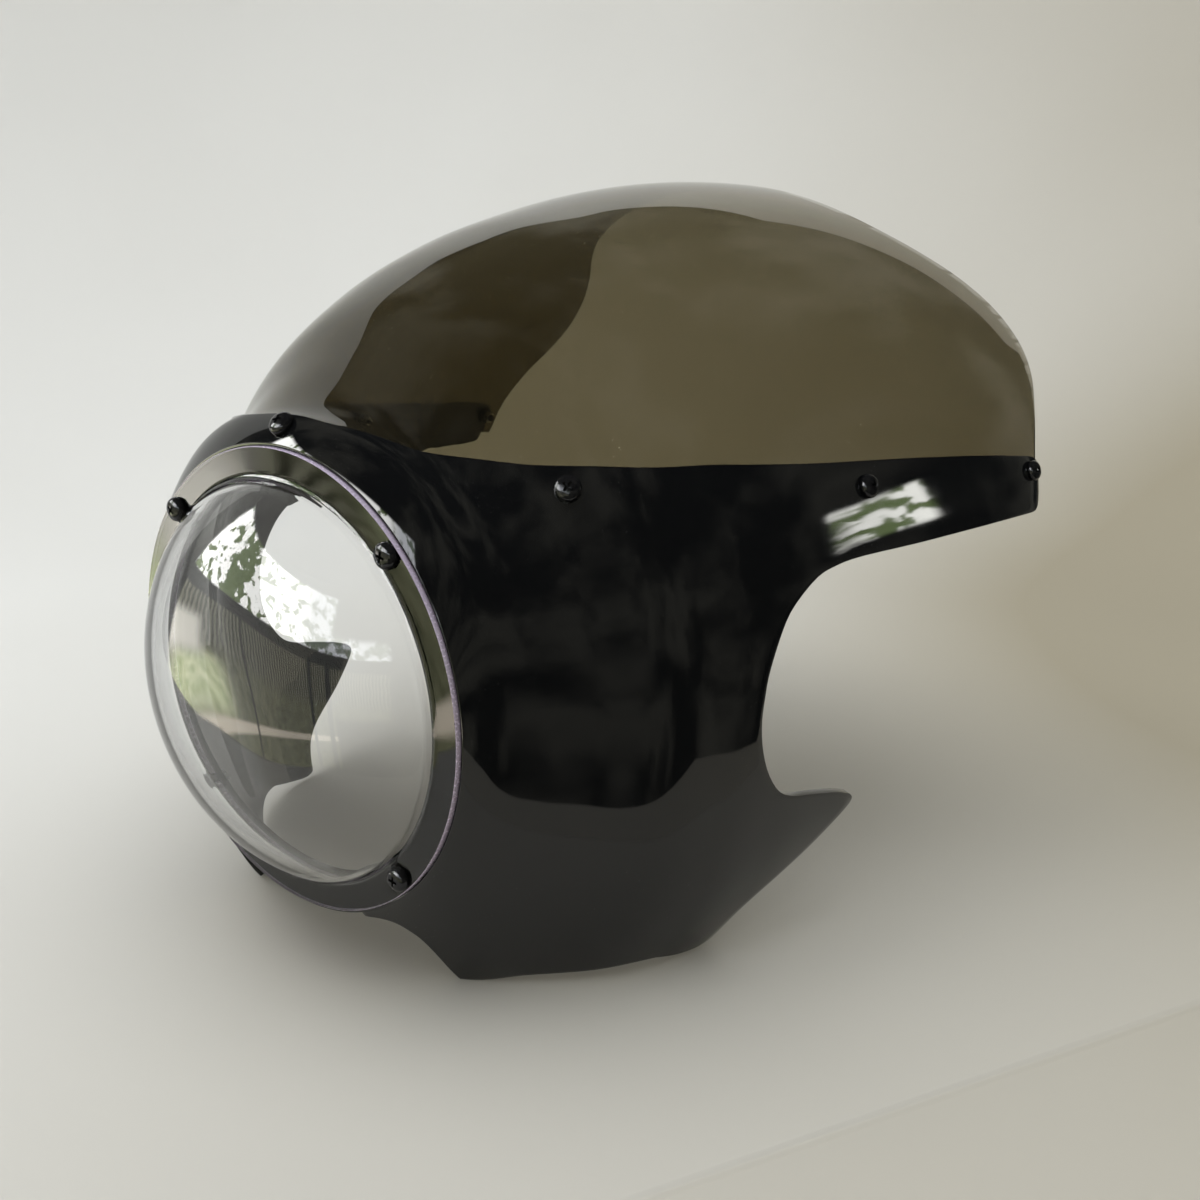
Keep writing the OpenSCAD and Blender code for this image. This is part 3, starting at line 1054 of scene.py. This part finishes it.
    def ring(
        self, bm: bmesh.types.BMesh, place: Matrix, radius: float, sides: int, low: float, thick: float
    ) -> None:
        """Adds a washer or a nut with a round bore.

        Args:
            bm: the mesh that takes it.
            place: its screw's frame.
            radius: outer radius in millimetres.
            sides: 6 for a nut, more for a washer.
            low: height of its lower face in the frame.
            thick: its thickness.
        """
        old = set(bm.verts)
        outer = bmesh.ops.create_circle(bm, segments=sides, radius=radius * MM)["verts"]
        inner = bmesh.ops.create_circle(bm, segments=self.turns, radius=self.bore * MM)["verts"]
        edges = list({e for v in outer + inner for e in v.link_edges})
        face = bmesh.ops.bridge_loops(bm, edges=edges)["faces"]
        up = bmesh.ops.extrude_face_region(bm, geom=face)["geom"]
        upper = [g for g in up if isinstance(g, bmesh.types.BMVert)]
        bmesh.ops.translate(bm, verts=upper, vec=(0, 0, thick * MM))
        made = added(bm, old)
        turn_outward(bm, made)
        edges = {e for v in made for e in v.link_edges if e.is_manifold}
        corners = [e for e in edges if e.calc_face_angle(0.0) > self.corner_radians]
        bmesh.ops.bevel(
            bm, geom=corners, offset=self.broken_edge * MM, segments=1, profile=0.5, affect="EDGES",
            material=-1, clamp_overlap=True,
        )
        made = added(bm, old)
        bmesh.ops.translate(bm, verts=made, vec=(0, 0, low * MM))
        bmesh.ops.transform(bm, matrix=place, verts=made)

    def set_of(
        self, places: list[Matrix], label: str, stacks: list[float], lift: float,
        mats: dict[Look, bpy.types.Material],
    ) -> None:
        """Models and dresses one set of screws, washers and nuts.

        Args:
            places: the screws' frames.
            label: lens or screen.
            stacks: distance from each frame down to its washer.
            lift: distance of the head's flat above the frame.
            mats: the finishes.
        """
        screws, washers, nuts = bmesh.new(), bmesh.new(), bmesh.new()
        nut_radius = self.nut_flats / 2 / math.cos(math.pi / self.nut_sides)
        for place, stack in zip(places, stacks):
            washer_low = -stack - self.washer_thick
            nut_low = washer_low - self.nut_thick
            length = lift + stack + self.washer_thick + self.nut_thick + self.tip
            self.screw(screws, place @ Matrix.Translation((0, 0, lift * MM)), length)
            self.ring(washers, place, self.washer_radius, self.washer_sides, washer_low, self.washer_thick)
            self.ring(nuts, place, nut_radius, self.nut_sides, nut_low, self.nut_thick)
        kinds = (("screws", screws, Look.SCREW), ("washers", washers, Look.WASHER), ("nuts", nuts, Look.NUT))
        for kind, bm, look in kinds:
            piece = new_piece(f"{label}_{kind}_set", bm, look, f"{label}_{kind}")
            sharpen(piece, self.sharp)
            wear(piece, mats[look])

    def build(self, mats: dict[Look, bpy.types.Material]) -> None:
        """Models and dresses both sets.

        Args:
            mats: the finishes.
        """
        self.set_of(self.lens_places(), "lens", [self.lens_stack] * len(self.lens_turns), 0.0, mats)
        stacks = [self.screen_stack + gap for gap in self.washer_gaps]
        self.set_of(self.screen_places(), "screen", stacks, self.lift, mats)


# The studio


@dataclass(frozen=True)
class View:
    """The direction that a mirrored ray looks in.

    Args:
        wiring: the world's nodes.
        place: the direction itself.
        turn: degrees from straight ahead, right positive.
        height: degrees above the horizon.
    """

    wiring: Wiring
    place: Socket
    turn: Socket
    height: Socket


@dataclass(frozen=True)
class Tones:
    """Two colours that cloudy noise mixes.

    Args:
        scale: the noise's scale.
        detail: its detail.
        dark: linear colour where the noise is low.
        light: linear colour where it is high.
        run: where the noise passes from one to the other, if not evenly.
    """

    scale: float
    detail: float
    dark: Colour
    light: Colour
    run: tuple[float, float] | None = None

    def seen(self, view: View) -> Socket:
        """Colour in a direction.

        Args:
            view: the direction.

        Returns:
            The mixed colour.
        """
        cloud = view.wiring.noise(view.place, self.scale, self.detail)
        mix = view.wiring.rise(cloud, *self.run) if self.run else cloud
        return view.wiring.tint(mix, self.dark, self.light)


@dataclass(frozen=True)
class Patch:
    """A soft rectangle in a view, in degrees.

    Args:
        turn: the turns that it covers.
        height: the heights that it covers.
    """

    turn: Span
    height: Span

    def inside(self, view: View) -> Socket:
        """1 in the rectangle and 0 outside it."""
        across = view.wiring.between(view.turn, self.turn)
        return view.wiring.product(across, view.wiring.between(view.height, self.height))


@dataclass(frozen=True)
class Garden:
    """The window that the gloss mirrors on the left and in front, in degrees."""

    window: Patch = Patch(Span(-70.0, 13.0, 1.2), Span(-34.0, 35.6, 0.7))
    window_tilt: float = 0.04
    side: Patch = Patch(Span(10.0, 40.0, 2.0), Span(-14.0, 19.0, 2.0))
    leaf_scale: float = 16.0
    leaf_detail: float = 4.0
    leaf_run: tuple[float, float] = (0.40, 0.47)
    leaves: Tones = Tones(40.0, 2.0, (0.5, 0.9, 0.2), (2.4, 3.0, 1.5))
    sky: Colour = (15.0, 15.0, 14.6)
    far_run: tuple[float, float] = (0.42, 0.55)
    far_leaves: Colour = (1.5, 1.8, 1.4)
    far_sky: Colour = (7.0, 7.2, 7.6)
    far_turns: tuple[float, float] = (-10.0, 3.0)
    trunk: Patch = Patch(Span(-50.0, -39.0, 5.0), Span(8.0, 40.0, 8.0))
    trunk_shade: float = 0.2
    fence_wave: tuple[float, float, float] = (14.0, 4.0, 3.0)
    fence_dark: Colour = (0.28, 0.28, 0.19)
    fence_light: Colour = (1.35, 1.33, 0.98)
    fence_foot: tuple[float, float] = (-6.0, -12.0)
    bushes: Tones = Tones(26.0, 3.0, (0.12, 0.16, 0.07), (1.7, 1.7, 1.05))
    sunny: Patch = Patch(Span(-67.0, -49.0, 4.0), Span(-20.5, -11.5, 2.5))
    sunlit: Tones = Tones(30.0, 2.0, (1.4, 2.0, 0.6), (7.0, 7.1, 4.8))
    path: Span = Span(-22.8, -20.8, 0.5)
    path_colour: Colour = (4.6, 4.1, 3.3)
    house_turns: tuple[float, float] = (-53.0, -58.0)
    house: Span = Span(-12.0, -2.0, 2.5)
    house_colour: Colour = (5.4, 5.2, 4.6)
    sky_foot: tuple[float, float] = (7.0, 10.0)
    bar: Span = Span(6.0, 11.5, 0.6)
    post_heads: tuple[float, float] = (9.0, 7.0)
    posts: tuple[Span, ...] = (Span(-37.5, -36.5, 0.4), Span(-0.9, 0.9, 0.4), Span(8.6, 11.4, 0.4))
    bar_colour: Colour = (0.12, 0.13, 0.14)

    def seen(self, view: View) -> tuple[Socket, Socket]:
        """The whole window.

        Args:
            view: the direction.

        Returns:
            The window's colour, and where it is.
        """
        wiring = view.wiring
        scene = wiring.blend(wiring.rise(view.height, *self.sky_foot), self.ground(view), self.treetops(view))
        scene = wiring.tint(self.bars(view), scene, self.bar_colour)
        tilted = replace(view, height=wiring.total(view.height, wiring.product(view.turn, self.window_tilt)))
        return scene, wiring.math("MAXIMUM", self.window.inside(tilted), self.side.inside(view))

    def treetops(self, view: View) -> Socket:
        """Leaves and a trunk before a bright sky, fainter on the right.

        Args:
            view: the direction.

        Returns:
            Their colour.
        """
        wiring = view.wiring
        leaf = wiring.noise(view.place, self.leaf_scale, self.leaf_detail)
        leaf = wiring.math("SUBTRACT", leaf, wiring.product(self.trunk.inside(view), self.trunk_shade))
        near = wiring.tint(wiring.rise(leaf, *self.leaf_run), self.leaves.seen(view), self.sky)
        far = wiring.tint(wiring.rise(leaf, *self.far_run), self.far_leaves, self.far_sky)
        return wiring.blend(wiring.rise(view.turn, *self.far_turns), near, far)

    def ground(self, view: View) -> Socket:
        """A fence, with bushes, a path and a house's wall below it.

        Args:
            view: the direction.

        Returns:
            Their colour.
        """
        wiring = view.wiring
        scale, distortion, detail = self.fence_wave
        feeds = {"Vector": view.place, "Scale": scale, "Distortion": distortion, "Detail": detail}
        slats = wiring.node("TexWave", feeds).outputs["Fac"]
        fence = wiring.tint(slats, self.fence_dark, self.fence_light)
        bushes = wiring.blend(self.sunny.inside(view), self.bushes.seen(view), self.sunlit.seen(view))
        bushes = wiring.tint(wiring.between(view.height, self.path), bushes, self.path_colour)
        low = wiring.blend(wiring.rise(view.height, *self.fence_foot), fence, bushes)
        reach = wiring.rise(view.turn, *self.house_turns)
        house = wiring.product(reach, wiring.between(view.height, self.house))
        return wiring.tint(house, low, self.house_colour)

    def bars(self, view: View) -> Socket:
        """Where the window's frame is: one bar across it and the posts below.

        Args:
            view: the direction.

        Returns:
            1 on the frame and 0 beside it.
        """
        wiring = view.wiring
        bars = wiring.between(view.height, self.bar)
        below = wiring.rise(view.height, *self.post_heads)
        for span in self.posts:
            bars = wiring.math("MAXIMUM", bars, wiring.product(wiring.between(view.turn, span), below))
        return bars


@dataclass(frozen=True)
class Paper:
    """The matt backdrop, in metres, with painted shade: darker and warmer far from the window, a darker painted
    shadow of the object, and painted shade past one fold.

    Its gloss is only mirrored from a sheet of limited size, as the real paper has edges.
    """

    near: Colour = (0.695, 0.69, 0.665)
    # Painted shade: the share of the near colour that is left where the least light falls, warmer there
    painted_shade_tint: Colour = (0.50, 0.455, 0.36)
    rough: float = 0.9
    sheen: float = 0.2
    slant: float = 0.25
    # Painted falloff of the window's light across the backdrop, and how deep it gets
    painted_falloff_run: tuple[float, float] = (-0.9, 0.75)
    painted_falloff: float = 0.68
    # Painted shadow of the object: the paper is darker round this point, fading out between these distances
    shade_middle: tuple[float, float, float] = (0.55, 0.8, 0.0)
    shade_run: tuple[float, float] = (0.95, 0.1)
    shade: float = 0.8
    cloud_scale: float = 2.2
    cloud: float = 0.14
    fold_way: tuple[float, float] = (0.874, 0.485)
    # Painted shade past the fold: the paper is darker on the side beyond the crease
    fold_run: tuple[float, float] = (0.284, 0.29)
    fold_shade: float = 0.09
    fold: Span = Span(0.2855, 0.2885, 0.002)
    fold_height: float = 0.12
    wave_scale: float = 3.5
    relief: float = 0.007
    front_edge: tuple[float, float] = (-0.415, -0.405)
    corner_edge: tuple[float, float] = (0.49, 0.48)
    right_edge: tuple[float, float] = (0.405, 0.395)
    rise_slant: float = 1.1
    top_edge: tuple[float, float] = (1.14, 1.11)

    def material(self) -> bpy.types.Material:
        """Builds the paper's material.

        Returns:
            A node material that reads Object coordinates.
        """
        mat = bpy.data.materials.new("backdrop_paper")
        mat.use_nodes = True
        wiring = Wiring(mat.node_tree)
        nodes = mat.node_tree.nodes
        shader = nodes["Principled BSDF"]
        shader.inputs["Roughness"].default_value = self.rough
        shader.inputs["Specular IOR Level"].default_value = self.sheen
        place = wiring.node("TexCoord").outputs["Object"]
        x, y, z = (wiring.node("SeparateXYZ", {0: place}).outputs[name] for name in "XYZ")
        line = wiring.math("SUBTRACT", wiring.product(x, self.fold_way[0]), wiring.product(y, self.fold_way[1]))
        # The painted shade colour: the near colour darkened and warmed where less light falls
        painted_shade_colour = tuple(c * w for c, w in zip(self.near, self.painted_shade_tint))
        colour = wiring.tint(self.painted_shading(wiring, place, x, y, line), self.near, painted_shade_colour)
        wiring.feed(shader.inputs["Base Color"], colour)
        fold = wiring.product(wiring.between(line, self.fold), self.fold_height)
        height = wiring.total(fold, wiring.noise(place, self.wave_scale, 0.0))
        bump = wiring.node("Bump", {"Height": height, "Strength": 1.0, "Distance": self.relief})
        wiring.feed(shader.inputs["Normal"], bump.outputs["Normal"])
        beyond = self.beyond(wiring, x, y, z)
        through = wiring.node("BsdfTransparent")
        mix = wiring.node("MixShader", {0: beyond, 1: shader.outputs[0], 2: through.outputs[0]})
        wiring.feed(nodes["Material Output"].inputs["Surface"], mix.outputs[0])
        return mat

    def painted_shading(self, wiring: Wiring, place: Socket, x: Socket, y: Socket, line: Socket) -> Socket:
        """Share of the painted shade colour at a point: painted falloff away from the window, a painted shadow
        of the object, random clouding and painted shade past the fold.

        Args:
            wiring: the material's nodes.
            place: the point.
            x: its X.
            y: its Y.
            line: distance across the fold.

        Returns:
            The share.
        """
        across = wiring.total(x, wiring.product(y, self.slant))
        feeds = {0: place, 1: self.shade_middle}
        apart = wiring.node("VectorMath", feeds, operation="DISTANCE").outputs["Value"]
        wander = wiring.math("SUBTRACT", wiring.noise(place, self.cloud_scale, 1.0), 0.5)
        # Painted falloff, painted shadow of the object, random clouding and painted shade past the fold
        return wiring.total(
            wiring.product(wiring.rise(across, *self.painted_falloff_run), self.painted_falloff),
            wiring.rise(apart, *self.shade_run, 0.0, self.shade),
            wiring.product(wander, self.cloud),
            wiring.product(wiring.rise(line, *self.fold_run), self.fold_shade),
        )

    def beyond(self, wiring: Wiring, x: Socket, y: Socket, z: Socket) -> Socket:
        """Where a mirrored ray passes the sheet's edges.

        Args:
            wiring: the material's nodes.
            x: the point's X.
            y: its Y.
            z: its Z.

        Returns:
            1 for a mirrored ray outside the sheet, else 0.
        """
        path = wiring.node("LightPath").outputs
        mirrored = wiring.math("SUBTRACT", path["Is Glossy Ray"], path["Is Transmission Ray"])
        on_paper = wiring.product(
            wiring.rise(y, *self.front_edge),
            wiring.rise(wiring.math("SUBTRACT", x, y), *self.corner_edge),
            wiring.rise(x, *self.right_edge),
            wiring.rise(wiring.total(z, wiring.product(x, self.rise_slant)), *self.top_edge),
        )
        return wiring.product(wiring.math("SUBTRACT", 1.0, on_paper), mirrored)


@dataclass(frozen=True)
class Lamp:
    """A soft rectangular lamp that faces the object.

    Args:
        name: the lamp's name.
        spot: its place in metres.
        size: its width and height in metres.
        power: its power in watts.
        colour: its linear colour.
    """

    name: str
    spot: tuple[float, float, float]
    size: tuple[float, float]
    power: float
    colour: Colour

    def hang(self, target: Vector) -> None:
        """Adds the lamp to the scene.

        Args:
            target: the point that it faces.
        """
        data = bpy.data.lights.new(self.name, "AREA")
        data.shape = "RECTANGLE"
        data.size, data.size_y = self.size
        data.energy = self.power
        data.color = self.colour
        obj = bpy.data.objects.new(self.name, data)
        where = Vector(self.spot)
        facing = (where - target).to_track_quat("Z", "Y").to_matrix().to_4x4()
        obj.matrix_world = Matrix.Translation(where) @ facing
        obj.visible_glossy = False
        obj.visible_transmission = False
        bpy.context.scene.collection.objects.link(obj)


@dataclass
class Studio:
    """Paper sweep, lamps, world and camera, in metres."""

    azimuth: float = 36.6414
    elevation: float = 15.8226
    roll: float = 0.96994
    focal_px: float = 1095.288
    ring_px: tuple[float, float] = (283.933, 685.532)
    ring_distance: float = 482.832 * MM
    sensor_width: float = 36.0
    clip_start: float = 0.01
    paper: Paper = Paper()
    wall_radius: float = 1.55
    curve_radius: float = 0.8
    wall_height: float = 1.45
    flat_shares: tuple[float, ...] = (0.0, 0.25, 0.6, 1.0)
    curve_steps: int = 24
    turns: int = 96
    garden: Garden = Garden()
    gloom: Tones = Tones(3.0, 3.0, (0.02, 0.022, 0.022), (0.24, 0.235, 0.20), (0.42, 0.68))
    pane: Patch = Patch(Span(130.5, 136.5, 0.5), Span(4.5, 11.5, 0.5))
    glow: Tones = Tones(26.0, 3.0, (1.2, 1.6, 0.7), (10.0, 10.0, 9.4), (0.44, 0.54))
    sky_light: Colour = (0.92, 0.96, 1.0)
    sky_strength: float = 0.85
    lamp_target: tuple[float, float, float] = (0.0, 0.0, 0.15)
    lamps: tuple[Lamp, ...] = (
        Lamp("window_left", (-1.5, -1.0, 2.3), (2.0, 1.8), 29.0, (1.0, 0.99, 0.97)),
        Lamp("window_high", (0.1, -0.3, 2.5), (2.4, 2.0), 27.0, (0.96, 0.98, 1.0)),
    )

    def axes(self) -> tuple[Vector, Vector, Vector]:
        """Directions of the camera.

        Returns:
            Its right, its up, and back from what it looks at.
        """
        a, e, r = (math.radians(q) for q in (self.azimuth, self.elevation, self.roll))
        right = Vector((math.cos(a), math.sin(a), 0.0))
        back = Vector((math.sin(a) * math.cos(e), -math.cos(a) * math.cos(e), math.sin(e)))
        up = back.cross(right)
        return right * math.cos(r) + up * math.sin(r), up * math.cos(r) - right * math.sin(r), back

    def camera(self) -> None:
        """Stands the camera where the photograph was taken from."""
        right, up, back = self.axes()
        dx = (self.ring_px[0] - FRAME_PX / 2) / self.focal_px * self.ring_distance
        dy = (self.ring_px[1] - FRAME_PX / 2) / self.focal_px * self.ring_distance
        spot = RING - (right * dx - up * dy - back * self.ring_distance)
        data = bpy.data.cameras.new("camera")
        data.sensor_width = self.sensor_width
        data.lens = self.focal_px / FRAME_PX * data.sensor_width
        data.clip_start = self.clip_start
        obj = bpy.data.objects.new("camera", data)
        turn = Matrix((right, up, back)).transposed().to_4x4()
        obj.matrix_world = Matrix.Translation(spot) @ turn
        bpy.context.scene.collection.objects.link(obj)
        bpy.context.scene.camera = obj

    def sweep(self) -> None:
        """Floor that curves up into a low wall all round, without a seam."""
        bm = bmesh.new()
        flat = self.wall_radius - self.curve_radius
        profile = [(part * flat, 0.0) for part in self.flat_shares]
        for i in range(1, self.curve_steps + 1):
            a = i / self.curve_steps * math.pi / 2
            profile.append((flat + self.curve_radius * math.sin(a), self.curve_radius * (1 - math.cos(a))))
        profile.append((self.wall_radius, self.wall_height))
        spin_upright(bm, profile, self.turns)
        bmesh.ops.remove_doubles(bm, verts=bm.verts, dist=SAME_SPOT)
        bmesh.ops.recalc_face_normals(bm, faces=bm.faces)
        floor = smooth_object("floor", bm)
        wear(floor, self.paper.material())

    def world(self) -> None:
        """Pale behind the object for the eye, a dim room with windows for its gloss."""
        world = bpy.data.worlds.new("room")
        world.use_nodes = True
        bpy.context.scene.world = world
        wiring = Wiring(world.node_tree)
        nodes = world.node_tree.nodes
        place = wiring.node("TexCoord").outputs["Generated"]
        x, y, z = (wiring.node("SeparateXYZ", {0: place}).outputs[name] for name in "XYZ")
        turn = wiring.product(wiring.math("ARCTAN2", x, wiring.product(y, -1.0)), DEGREES)
        height = wiring.product(wiring.math("ARCSINE", z), DEGREES)
        view = View(wiring, place, turn, height)
        scene, where = self.garden.seen(view)
        room = wiring.blend(where, self.gloom.seen(view), scene)
        room = wiring.blend(self.pane.inside(view), room, self.glow.seen(view))
        mirrored = wiring.node("Background", {"Color": room, "Strength": 1.0})
        plain = nodes["Background"]
        plain.inputs["Color"].default_value = (*self.sky_light, 1.0)
        plain.inputs["Strength"].default_value = self.sky_strength
        pale = wiring.node("Background", {"Color": (*self.paper.near, 1.0)})
        path = wiring.node("LightPath").outputs
        seen = wiring.math("MAXIMUM", path["Is Camera Ray"], path["Is Transmission Ray"])
        glossy = path["Is Glossy Ray"]
        first = wiring.node("MixShader", {0: glossy, 1: plain.outputs[0], 2: mirrored.outputs[0]})
        second = wiring.node("MixShader", {0: seen, 1: first.outputs[0], 2: pale.outputs[0]})
        wiring.feed(nodes["World Output"].inputs["Surface"], second.outputs[0])

    def build(self) -> None:
        """Sets up everything round the object."""
        bpy.context.scene.view_settings.view_transform = "Standard"
        self.camera()
        self.sweep()
        self.world()
        for lamp in self.lamps:
            lamp.hang(Vector(self.lamp_target))


def main() -> None:
    """Builds the studio and every piece in order."""
    logging.basicConfig(level=logging.INFO, format="%(name)s: %(message)s")
    Studio().build()
    form = BodyForm()
    mats = {look: finish.material() for look, finish in FINISHES.items()}
    Cowl(form).build(mats[Look.BLACK])
    Windscreen(form).build(mats[Look.SMOKED])
    Lens().build(mats[Look.CLEAR], CUT_EDGE.material())
    Fasteners(form).build(mats)


if __name__ == "__main__":
    main()
